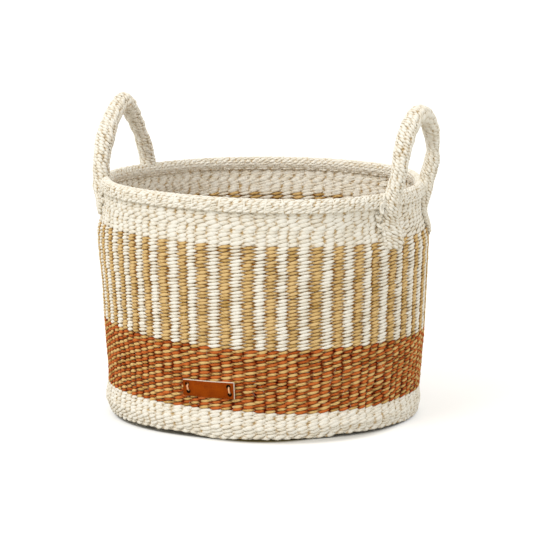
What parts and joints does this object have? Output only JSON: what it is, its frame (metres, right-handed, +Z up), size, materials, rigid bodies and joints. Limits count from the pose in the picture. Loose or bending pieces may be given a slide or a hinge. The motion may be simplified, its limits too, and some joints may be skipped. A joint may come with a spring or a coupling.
{
  "type": "woven storage basket",
  "caption": "Round twined sisal storage basket with a striped wall, a rust band, a rolled rim, two upright loop handles and a small plain leather label.",
  "frame": {"origin": "on the floor under the middle of the basket", "axes": "+Z up, +X to the right handle, -Y to the side that carries the label"},
  "size_m": [0.3323, 0.33, 0.3091],
  "materials": {
    "cream_sisal": "undyed twined sisal yarn, matt with a slight fibre sheen",
    "rust_sisal": "rust and tan sisal yarns twined in a checker",
    "striped_sisal": "cream and tan sisal yarns twined in upright stripes",
    "rope_core": "bundled sisal warp ends",
    "pale_thread": "pale twisted thread",
    "tan_leather": "smooth orange-brown leather with a pale cut edge"
  },
  "bodies": {
    "basket": {"base_disc": "cream_sisal", "foot_band": "cream_sisal", "rust_band": "rust_sisal", "striped_band": "striped_sisal", "upper_band": "cream_sisal", "rim_core": "rope_core", "rim_cover": "cream_sisal", "left_end_front": "cream_sisal", "left_end_back": "cream_sisal", "right_end_front": "cream_sisal", "right_end_back": "cream_sisal", "left_end_front_tie_loop": "pale_thread", "left_end_front_tie_knot": "pale_thread", "left_end_back_tie_loop": "pale_thread", "left_end_back_tie_knot": "pale_thread", "right_end_front_tie_loop": "pale_thread", "right_end_front_tie_knot": "pale_thread", "right_end_back_tie_loop": "pale_thread", "right_end_back_tie_knot": "pale_thread", "leather_label": "tan_leather", "label_stitch_left": "pale_thread", "label_stitch_right": "pale_thread"},
    "left_handle": {"left_handle_core": "rope_core", "left_handle_cover": "cream_sisal"},
    "right_handle": {"right_handle_core": "rope_core", "right_handle_cover": "cream_sisal"}
  },
  "joints": [
    {"name": "right_handle_tip", "type": "hinge", "parent": "basket", "child": "right_handle", "pos_m": [0.15393, 0, 0.237], "axis": [0, 1, 0], "range_deg": [-35, 25], "stiffness_Nm_per_rad": 0.3},
    {"name": "left_handle_tip", "type": "hinge", "parent": "basket", "child": "left_handle", "pos_m": [-0.15032, 0, 0.237], "axis": [0, -1, 0], "range_deg": [-23, 37], "stiffness_Nm_per_rad": 0.3}
  ]
}
